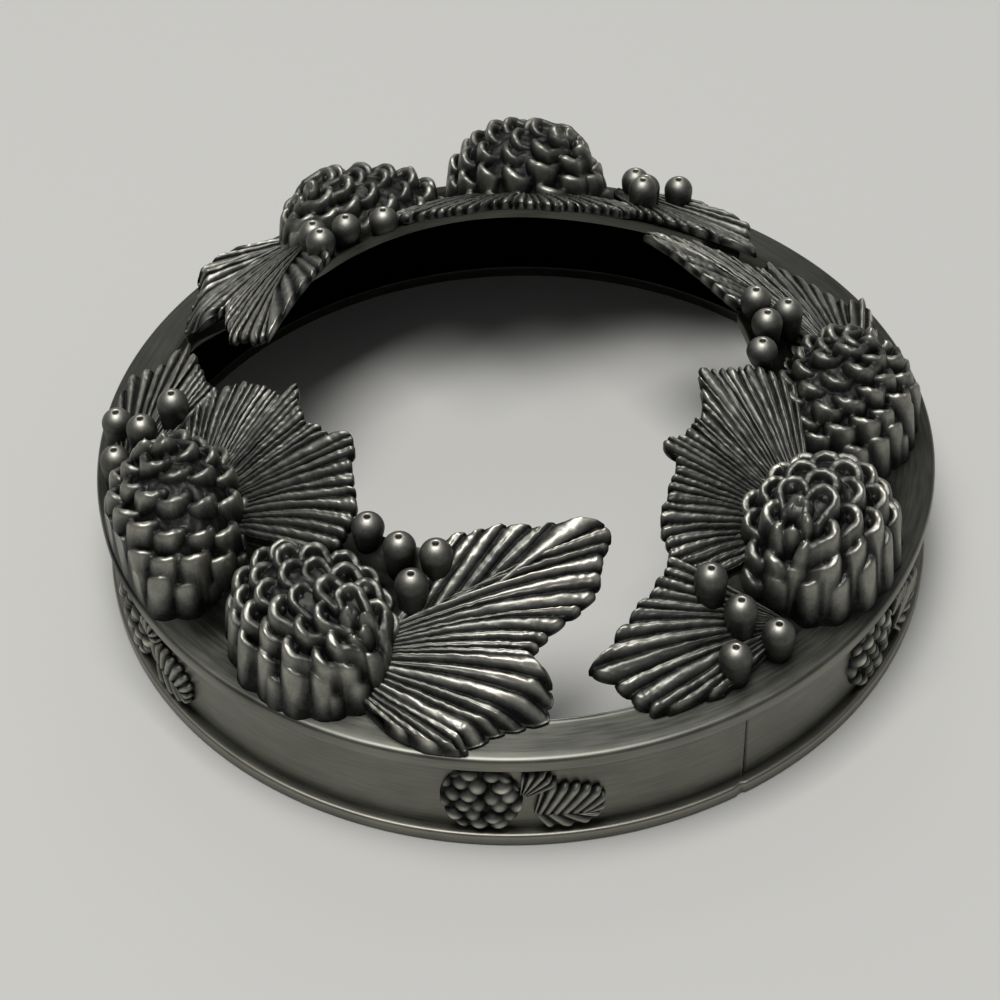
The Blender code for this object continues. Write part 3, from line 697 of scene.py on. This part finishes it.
def sunk_below(height, reach):
    """How far each point of a grid, closed across, lies below the mean round it."""
    padded = np.pad(height, ((reach, reach), (0, 0)), mode="edge")
    steps = range(-reach, reach + 1)
    mean = sum(padded[reach + k:len(height) + reach + k] for k in steps) / len(steps)
    mean = sum(np.roll(mean, 2 * k, axis=1) for k in steps) / len(steps)
    return mean - height


# %% Pinecones on their places
def make_cone(name, cluster, number):
    """One pinecone as a closed surface: its height field and a flat underside."""
    share = np.linspace(0, 1, CONE_ROWS + 1)[1:, None] * cone_reach(number, cluster)
    u, v, plan = cone_plan(number, cluster, share)
    height, crest, body = cone_height(number, u, v, cluster)
    plan = within_lip(plan)
    floor = bed_height(plan, cluster)
    rough = unevenness(raised(plan, height), 1.3 * MM, cluster)
    height = np.maximum(height + 0.08 * MM * rough, floor - 0.2 * MM)
    under = raised(plan[-1], floor[-1] - 0.5 * MM)
    middle = cone_frame(number, cluster)[0]
    peak, peak_crest, _ = cone_height(number, np.zeros(1), np.zeros(1), cluster)
    poles = [(*middle, peak[0]), (*middle, floor[0, 0] - 0.5 * MM)]
    points = np.concatenate((raised(plan, height).reshape(-1, 3), under, poles))
    above = np.clip((height - body - 0.2 * MM) / (1.6 * MM), 0, 1)
    # The depth below the mean round each point darkens the gaps between the scales.
    # This is painted shade, added to the patina and the rubbed crests.
    painted_gap_shade = np.clip(sunk_below(height, 6) / MM, -1, 1)
    wear_and_shade = np.clip(0.1 + 0.14 * above - 0.3 * painted_gap_shade + 0.31 * crest, 0, 1)
    wear_and_shade = np.concatenate((wear_and_shade.ravel(), wear_and_shade[-1] * 0, peak_crest, [0.0]))
    make_piece(name, points, capped(CONE_ROWS + 1, CONE_COLUMNS), castings,
               f"pinecone_{name[-2:]}", wear_and_shade)


for cluster, letter in enumerate("abc"):
    for number in range(len(CONE_PLACES)):
        make_cone(f"cone_{letter}{number + 1}", cluster, number)

# %% [markdown]
# ## Needle fans
#
# A fan is a spray of pine needles pressed side by side. Its grid runs out from a root
# near a pinecone, or from a rib in a feathered fan, and turns from the first needle's
# heading to the last. Needles could be curves with a round section, but a casting has
# no gaps under them: here one height follows round ridges with sharp valleys between.

# %% The fans' outlines
START_ROOT, FIRST_CONE, END_ROOT = (-1.0, -24.478), (-1.4, -11.814), (-1.0, 16.039)
# name, root, the cone it grows from, needles, outline of the crests, how far the foot
# runs out below them, and for a feathered fan its rib: the rib's heading and where on
# it the needles start. Outline, foot and starts are tables of (heading, mm).
FANS = (
    ("start_fan", START_ROOT, 0, 14,
     ((-116, 12.6), (-121, 14.6), (-124.5, 18.9), (-127, 20.7), (-133.4, 21.6),
      (-140, 22.8), (-144.8, 25.6), (-148, 22.4), (-152.5, 20.8), (-156.5, 19.4),
      (-161, 18), (-166, 16.6), (-173.3, 15.6), (-183, 14.8)),
     ((-116, 0), (-183, 0)), ()),
    ("inner_fan_first", FIRST_CONE, 0, 13,
     ((-127, 15.8), (-131.5, 17.2), (-140.6, 18.9), (-149.7, 18.8), (-158.8, 18),
      (-167.9, 17), (-178, 16.7)), ((-127, 0), (-178, 0)), ()),
    ("inner_fan_second", FIRST_CONE, 0, 20,
     ((-177.5, 18), (-180.5, 18.6), (-187.6, 17.2), (-194.6, 16.6), (-201.7, 16.8),
      (-208.8, 18.2), (-215.9, 21.4), (-222.9, 21.2), (-230, 21.4), (-237.5, 22.4),
      (-246, 22), (-253, 20.5)), ((-177, 0), (-253, 0)), ()),
    ("end_fan_upper", END_ROOT, 1, 16,
     ((173.5, 17.7), (170, 20.3), (167.3, 22.5), (164.2, 25.5), (161.7, 28.4),
      (160, 31.6), (158.4, 34.4), (155.6, 34.6), (152.5, 32.6), (146.9, 31.4),
      (144.1, 29), (139.9, 25.9), (135.5, 23.6), (132.5, 24.2)),
     ((173.5, 0), (134, 0), (132.5, 0.5)),
     (152.0, ((173.5, 7), (158.8, 21), (156, 11), (151, 0), (132.5, 0)))),
    ("end_fan_lower", END_ROOT, 1, 10,
     ((133, 23.9), (129.2, 25.5), (125.2, 23), (121.9, 21.8), (118.8, 20.8),
      (112, 19.3), (106.3, 18.4), (98.8, 19.4), (92.8, 14.7), (88, 11)),
     ((133, 0.4), (129.2, 0.8), (125.2, 3.4), (122, 4.5), (119.6, 4.2), (115.3, 2.8),
      (109.8, 1.8), (101.9, 0.9), (95, 0.2), (88, 0)), ()),
)
print(len(FANS), "fans")


# %% Where the needles start
def clear_of_cone(cluster, number, root, aim):
    """Distance from the root at which each heading leaves a cone's outline."""
    middle, along, across = cone_frame(number, cluster)
    off = root - middle
    u, v = off @ along / CONE_LONG, off @ across / CONE_WIDE
    du, dv = aim @ along / CONE_LONG, aim @ across / CONE_WIDE
    a, b, c = du ** 2 + dv ** 2, u * du + v * dv, u * u + v * v - 1.0
    inside = b * b - a * c
    return (np.sqrt(np.maximum(inside, 0)) - b) / a * (inside > 0)


def along_table(table, side, heading):
    """Value of a table of (heading, mm) at each heading, in metres."""
    headings, values = np.array(table, dtype=float).T
    return np.interp(side * heading, side * headings, values) * MM


# %% The lines that the needles follow
NEEDLE_STEPS = 14


def needle_lines(cluster, fan):
    """What each column of a fan's grid follows, by name.

    A needle runs straight from its start, near the root or on the rib, to the outline:
    run is its way on the plan, foot the part of it below the crests, thin and broad its
    widths at the ends. phase is the place across it, -1 to 1; own and blended are
    chances that jump or glide from needle to needle.
    """
    name, place, number, needles, outline, feet, rib = fan
    root = cluster_point(cluster, place[0] * MM, place[1] * MM)
    share = np.linspace(0, 1, needles * NEEDLE_STEPS + 1)
    index = np.minimum((share * needles).astype(int), needles - 1)
    phase = 2 * (share * needles - index) - 1
    chance = chances(len(name) + 7 * cluster, 4, needles + 1)
    own, between = chance[:, index], np.arange(needles + 1)
    blended = [np.interp(share * needles, between, row) for row in chance]
    drift = blended[3] * 0.22 / needles * (1 - share) * share * 4
    first, last = outline[0][0], outline[-1][0]
    heading = first + (last - first) * (share + drift)
    side = 1 if last > first else -1
    aim = spot_on_ring(CLUSTERS[cluster] + heading)
    far, foot = (along_table(table, side, heading) for table in (outline, feet))
    blunt = 1 - np.sqrt(1 - 0.98 * phase ** 2)
    far = far + 0.25 * MM * own[0] - (0.6 + 0.25 * own[2]) * MM * blunt
    near = clear_of_cone(cluster, number, root, aim) - 4.5 * MM
    near = np.clip(near, 0.8 * MM, 9.0 * MM)
    far = np.maximum(far, near + 1.5 * MM)
    up_rib = along_table(rib[1], side, heading) if rib else 0 * share
    on_rib = np.clip(up_rib / (5.0 * MM), 0, 1)
    near = near * (1 - on_rib)
    rib_aim = spot_on_ring(CLUSTERS[cluster] + rib[0]) if rib else aim[0]
    start = root + aim * near[:, None] + rib_aim * (up_rib * on_rib)[:, None]
    spread = radians(abs(last - first)) / needles
    return {"phase": phase, "own": own, "blended": blended, "aim": aim, "foot": foot,
            "start": start, "run": root + aim * (far + foot)[:, None] - start,
            "thin": near * spread + MM * on_rib, "broad": (far + foot) * spread}

# %% The height of a fan
END_ROUNDING = 0.8 * MM
NEEDLE_THICK, NEEDLE_DEEP = 1.95 * MM, 0.9 * MM
UNDER_WEAR = 0.12


def fan_crest(lines, step, walled, polish):
    """Height of a fan above the plate, and its wear, for rows at each step.

    Across a needle the height falls from its ridge by about half its width. Its end is
    rounded off, or sinks to the plate where a foot runs out below it. A walled fan
    rises to its edge and sinks late.
    """
    phase, own, foot = lines["phase"], lines["own"], lines["foot"]
    left_over = np.linalg.norm(lines["run"], axis=-1) * (1 - step)
    ridge = 1 - np.abs(phase) ** 1.9
    groove = np.exp(-((phase - 0.25 * own[0]) / 0.13) ** 2) * (own[3] > -0.2)
    pitch = lines["thin"] + (lines["broad"] - lines["thin"]) * step
    deep = np.minimum(0.52 * pitch, NEEDLE_DEEP) * (1 + 0.14 * own[1])
    thick = NEEDLE_THICK + 0.2 * MM * np.sin(pi * step) ** 1.5
    thick = thick + 0.14 * MM * (own[2] - 0.5) + walled * 0.9 * MM * step ** 2
    left = np.clip(left_over / END_ROUNDING, 0, 1)
    round_end = END_ROUNDING * (1 - np.sqrt(left * (2 - left)))
    down = np.clip((foot - left_over + 0.5 * MM) / (foot + 0.2 * MM), 0, 1)
    down = down * (foot > 0.3 * MM) * np.sqrt(np.clip(foot / (1.5 * MM), 0, 1))
    sink = 0.86 * down ** (1.8 if walled else 1.3)
    body = thick * (1 - sink) - round_end * (1 - down)
    cut = deep * (1 - ridge) + 0.1 * MM * groove
    height = body - cut * (1 - (0.2 if walled else 0.6) * down)
    wear_and_shade = (0.05 + polish * ridge ** 2.5 * (0.3 + 0.4 * step + 0.1 * own[0])
            - 0.12 * groove - 0.25 * round_end / MM - (0.35 if walled else 0.1) * down)
    return height, np.clip(wear_and_shade, 0, 1)


# %% Fans, needle by needle
FAN_ROWS, END_ROWS, END_SHARE = 52, 16, 0.14


def make_fan(name, cluster, fan):
    """Closed surface of one fan: ridged top, rounded ends and a plain underside."""
    lines = needle_lines(cluster, fan)
    start, run, blended = lines["start"], lines["run"], lines["blended"]
    end_steps = 1 - END_SHARE * (1 - np.linspace(0.04, 1, END_ROWS)) ** 1.4
    inner_steps = np.linspace(0, 1 - END_SHARE, FAN_ROWS - END_ROWS)
    step = np.concatenate((inner_steps, end_steps))[:, None]
    sway = np.sin(step * 6.0 + 3 * blended[2]) * blended[1] * 0.3 * MM * step
    sideways = np.stack((-lines["aim"][:, 1], lines["aim"][:, 0]), -1)
    plan = within_lip(start + run * step[..., None] + sway[..., None] * sideways)
    seat = bed_height(plan, cluster)
    polish = 1.25 if fan[0].startswith("end_fan") else 1.0
    height, wear_and_shade = fan_crest(lines, step, fan[0] == "end_fan_lower", polish)
    top = raised(plan, seat + height)
    top[..., 2] += 0.08 * MM * unevenness(top, 0.9 * MM, cluster)
    top[..., 2] += 0.07 * MM * unevenness(top, 2.6 * MM, cluster + 5)
    top[..., 2] = np.maximum(top[..., 2], seat + 0.3 * MM)
    under_step = np.array((1.0, 0.97, 0.7, 0.35, 0.0))[:, None]
    under_plan = within_lip(start + run * under_step[..., None])
    lift = np.array((0.22, 0.2, 0.2, 0.2, 0.2))[:, None] * MM
    under = raised(under_plan, bed_height(under_plan, cluster) + lift)
    loop = np.concatenate((top, under))
    wear_and_shade = np.concatenate((wear_and_shade, np.full(under.shape[:2], UNDER_WEAR)))
    make_piece(name, loop, ended(*loop.shape[:2]), castings, name,
               wear_and_shade)


for cluster, letter in enumerate("abc"):
    for fan in FANS:
        make_fan(f"{fan[0]}_{letter}", cluster, fan)

# %% [markdown]
# ## Berries
#
# Each berry is a bead on its own stub, with a small dimple in the crown where the
# flower was. A ball would do for the bead but meets the plate in a point, so a profile
# is turned round an upright axis, and its foot follows the sloping plate.

# %% Berries
# across, along and height of the crown over the plate, in mm
BERRIES = ((-12.8, 10.04, 3.7), (-13.3, 15.14, 4.9), (-15.6, 18.94, 5.0),
           (-11.5, 19.34, 5.7), (-10.6, -26.08, 6.3), (-6.6, -27.68, 6.2),
           (-2.1, -27.48, 5.1), (-6.0, -32.58, 5.5))
BERRY, BERRY_SIDES, STUB_ROWS = 1.95 * MM, 40, 8
DIMPLE_WIDE, DIMPLE_DEEP = 0.42 * MM, 0.5 * MM


def make_berry(name, cluster, across, along, rise):
    """Turned bead: a dimple, an arc over the crown, then a stub down to the plate."""
    middle = cluster_point(cluster, across * MM, along * MM)
    crown = bed_height(middle, cluster) + rise * MM
    dip = np.linspace(0, 1, 7)[1:]
    dimple = np.stack((DIMPLE_WIDE * dip, -DIMPLE_DEEP * (1 - dip ** 2.5)), -1)
    arc = np.radians(np.linspace(78, 0, 14)[1:])
    ball = np.stack((BERRY * np.cos(arc), BERRY * (np.sin(arc) - sin(radians(77)))), -1)
    part = np.linspace(0, 1, STUB_ROWS + 1)[1:]
    stub = np.stack((BERRY * (1 - 0.2 * part ** 1.3), 0 * part), -1)
    profile = np.concatenate((dimple, ball, stub))
    around = spot_on_ring(np.arange(BERRY_SIDES) * 360.0 / BERRY_SIDES)
    plan = middle + profile[:, None, :1] * around
    height = crown + profile[:, None, 1] * np.ones(BERRY_SIDES)
    floor = bed_height(plan, cluster) - 0.2 * MM
    shoulder = crown + ball[-1, 1]
    stub_floor = floor[-STUB_ROWS:]
    height[-STUB_ROWS:] = shoulder + (stub_floor - shoulder) * part[:, None]
    poles = [(*middle, crown - DIMPLE_DEEP), (*middle, floor[-1].mean())]
    points = np.concatenate((raised(plan, height).reshape(-1, 3), poles))
    wear_and_shade = np.concatenate((0.05 + 0.8 * dip ** 4,
                           0.8 - 0.6 * np.linspace(0, 1, len(ball)) ** 0.7,
                           0.2 - 0.2 * np.linspace(0, 1, STUB_ROWS)))
    wear_and_shade = np.concatenate((np.repeat(wear_and_shade, BERRY_SIDES), (0.0, 0.0)))
    make_piece(name, points, capped(len(profile), BERRY_SIDES), castings, name,
               wear_and_shade)


for cluster, letter in enumerate("abc"):
    for number, berry in enumerate(BERRIES):
        make_berry(f"berry_{letter}{number + 1}", cluster, *berry)

# %% [markdown]
# ## Relief pinecones and sprigs on the collar
#
# The collar carries six low castings, each a small pinecone with a sprig beside it.
# They could be modelled flat and bent round by a modifier, but they are thin, so each
# is a depth over the collar's own surface, with arc measured along it and height up it.

# %% From the flat to the collar
def on_collar(place, arc, height, depth):
    """Points on the collar: arc along it from an angle, height up, depth out of it."""
    radius = BAND_OUTSIDE + depth
    angle = radians(place) + arc / BAND_OUTSIDE
    return np.stack((radius * np.cos(angle), radius * np.sin(angle), height), -1)


def make_relief(name, place, patches):
    """Closed low castings from lattices of arc, height, depth and wear, as a piece."""
    points, faces, worn, first = [], [], [], 0
    for arc, height, depth, wear_and_shade in patches:
        rows, columns = arc.shape
        back = np.full(arc.shape, -0.1 * MM)
        points += [on_collar(place, arc, height, depth).reshape(-1, 3),
                   on_collar(place, arc, height, back)[::-1].reshape(-1, 3)]
        faces += ended(2 * rows, columns, first)
        worn += [wear_and_shade.ravel(), wear_and_shade.ravel() * 0]
        first += 2 * rows * columns
    make_piece(name, np.concatenate(points), faces, castings, name,
               np.concatenate(worn))


# %% A relief pinecone
RELIEF_MIDDLE, RELIEF_WIDE, RELIEF_TALL = 7.3 * MM, 9.6 * MM, 11.0 * MM
RELIEF_DEEP, RELIEF_STEPS = 1.45 * MM, 90
KNOB_ROWS, KNOB_COLUMNS, KNOB_APART, KNOB_ROW = 6, 5, 0.46, 0.33


def relief_cone(place, number):
    """Half-raised cone: an oval dome with staggered round scales standing on it."""
    sides = np.linspace(-1, 1, RELIEF_STEPS)
    v, u = np.meshgrid(sides, sides, indexing="ij")
    u, v = u * np.sqrt(1 - v * v / 2), v * np.sqrt(1 - u * u / 2)
    dome = np.sqrt(np.clip(1 - u * u - v * v, 0, 1))
    bumps = np.zeros_like(u)
    chance = chances(number, KNOB_ROWS, KNOB_COLUMNS, 4)
    for row in range(KNOB_ROWS):
        for column in range(KNOB_COLUMNS):
            move = chance[row, column]
            knob_u = (column - 2 + 0.5 * (row % 2)) * KNOB_APART + 0.07 * move[0]
            knob_v = row * KNOB_ROW - 0.82 + 0.06 * move[1]
            wide, tall = 0.25 * (1 + 0.2 * move[2]), 0.225 * (1 + 0.2 * move[3])
            bump = 1 - ((u - knob_u) / wide) ** 2 - ((v - knob_v) / tall) ** 2
            bumps = np.maximum(bumps, bump * (1 + 0.2 * move[2]))
    bumps = np.clip(bumps, 0, 1.2)
    depth = (0.25 * dome + 0.75 * bumps ** 0.7 * dome ** 0.3) * RELIEF_DEEP
    wear_and_shade = np.clip(0.75 * bumps ** 1.7 - 0.04, 0, 1)
    arc, height = u * RELIEF_WIDE / 2, RELIEF_MIDDLE + v * RELIEF_TALL / 2
    make_relief(f"relief_cone_{number}", place, [(arc, height, depth, wear_and_shade)])


# %% A sprig beside it
# needles of the leaf and of the spray above it, clockwise, in mm: start and end, each
# as arc and height
LEAF = ((6.0, 4.9, 6.8, 9.5), (6.6, 4.8, 8.3, 10.0), (7.5, 4.8, 9.7, 10.0),
        (8.5, 4.7, 11.1, 9.8), (9.6, 4.6, 12.5, 9.4), (10.7, 4.5, 13.7, 8.6),
        (11.7, 4.4, 14.3, 7.2), (12.2, 4.4, 14.3, 5.6), (11.2, 4.4, 13.7, 4.1),
        (9.6, 4.5, 12.2, 3.0), (7.9, 4.6, 10.1, 2.6), (6.4, 4.7, 7.8, 2.7))
SPRAY = ((4.5, 8.6, 4.7, 12.1), (4.7, 8.6, 5.9, 12.5), (4.9, 8.5, 7.2, 12.4),
         (5.1, 8.4, 8.2, 11.7), (5.2, 8.2, 8.6, 10.6))
SPRIG_COLUMNS, SPRIG_ROWS = 10, 20


def spray_of_needles(table, chance):
    """Lattice across needles laid side by side, each straight from start to end."""
    table = np.array(table) * MM
    needles = len(table)
    share = np.linspace(0, 1, needles * SPRIG_COLUMNS + 1) * needles
    index = np.minimum(share.astype(int), needles - 1)
    phase = 2 * (share - index) - 1
    arc_start, height_start, arc_end, height_end = (
        np.interp(share - 0.5, np.arange(needles), column) for column in table.T)
    step = np.linspace(0, 1, SPRIG_ROWS)[:, None]
    blunt = 1 - np.sqrt(1 - 0.98 * phase ** 2)
    reach = step * (1 - 0.2 * blunt + 0.05 * chance[index])
    arc = arc_start + (arc_end - arc_start) * reach
    height = height_start + (height_end - height_start) * reach
    ridge = (1 - np.abs(phase) ** 2.2) ** 0.8
    low_end = 0.35 * (1 - step) ** 2 + 0.55 * np.clip((step - 0.85) / 0.15, 0, 1) ** 2
    depth = (0.3 + 0.85 * ridge) * MM * (1 - low_end)
    return arc, height, depth, np.clip(0.03 + 0.62 * ridge ** 2 + 0 * step, 0, 1)


def relief_sprig(place, number):
    """Feathered leaf beside a relief cone, with a short spray above it."""
    chance = chances(number, 2, 20)
    leaf, spray = spray_of_needles(LEAF, chance[0]), spray_of_needles(SPRAY, chance[1])
    make_relief(f"relief_sprig_{number}", place, [leaf, spray])


# %% Six of each, every 60 degrees
for number, place in enumerate((24.0, 84.0, 144.0, 204.0, 264.0, 324.0), 1):
    relief_cone(place, number)
    relief_sprig(place, number)

# %% [markdown]
# ## Floor and light
#
# Metal shows what is round it, so one broad lamp overhead draws long soft highlights,
# and a weaker one behind lifts the far side. Many small lamps would sparkle more, but
# hide the wear on the crests.

# %% Floor
far = 3.0
floor_mesh = bpy.data.meshes.new("floor")
floor_mesh.from_pydata([(-far, -far, 0), (far, -far, 0), (far, far, 0), (-far, far, 0)],
                       [], [(0, 1, 2, 3)])
floor = bpy.data.objects.new("floor", floor_mesh)
bpy.context.scene.collection.objects.link(floor)
paper = bpy.data.materials.new("paper")
paper.use_nodes = True
paper_inputs = paper.node_tree.nodes["Principled BSDF"].inputs
paper_inputs["Base Color"].default_value = colour(206, 205, 200)
paper_inputs["Roughness"].default_value = 0.9
floor_mesh.materials.append(paper)
print("floor:", 2 * far, "m wide")

# %% Studio light
world = bpy.data.worlds.new("studio")
bpy.context.scene.world = world
world.use_nodes = True
world.node_tree.nodes["Background"].inputs[0].default_value = (0.14, 0.143, 0.15, 1)


def soft_light(name, place, size, power):
    """Square lamp that looks at the middle of the ring."""
    lamp = bpy.data.lights.new(name, "AREA")
    lamp.size, lamp.energy = size, power
    light = bpy.data.objects.new(name, lamp)
    light.location = place
    off_upright = np.arccos(place[2] / np.linalg.norm(place))
    light.rotation_euler = (off_upright, 0.0, atan2(place[1], place[0]) + pi / 2)
    bpy.context.scene.collection.objects.link(light)


soft_light("ceiling", (-0.1, -0.08, 1.15), 0.6, 11.2)
soft_light("wall", (-0.05, 1.1, 0.9), 0.9, 1.6)
print("lamps:", len(bpy.data.lights))

# %% [markdown]
# ## Camera
#
# The photograph looks down at about 45 degrees with a long lens. The camera is placed
# by elevation, roll and the point it looks at, which the ovals of lip and foot give.

# %% Camera
from mathutils import Matrix, Vector

ELEVATION, ROLL = radians(45.08), radians(-1.915)
DISTANCE, LOOKS_AT = 318.90 * MM, Vector((-2.118, 3.821, 0)) * MM
back = Vector((0, -cos(ELEVATION), sin(ELEVATION)))
right = Vector((1, 0, 0))
upward = back.cross(right)
level = right * cos(ROLL) + upward * sin(ROLL)
rise = upward * cos(ROLL) - right * sin(ROLL)
camera = bpy.data.objects.new("camera", bpy.data.cameras.new("camera"))
camera.data.sensor_width, camera.data.lens, camera.data.clip_start = 36.0, 86.4, 0.01
turn = Matrix((level, rise, back)).transposed().to_4x4()
camera.matrix_world = Matrix.Translation(back * DISTANCE + LOOKS_AT) @ turn
bpy.context.scene.collection.objects.link(camera)
bpy.context.scene.camera = camera
bpy.context.scene.view_settings.view_transform = "Standard"
print("camera's distance, mm:", DISTANCE / MM)
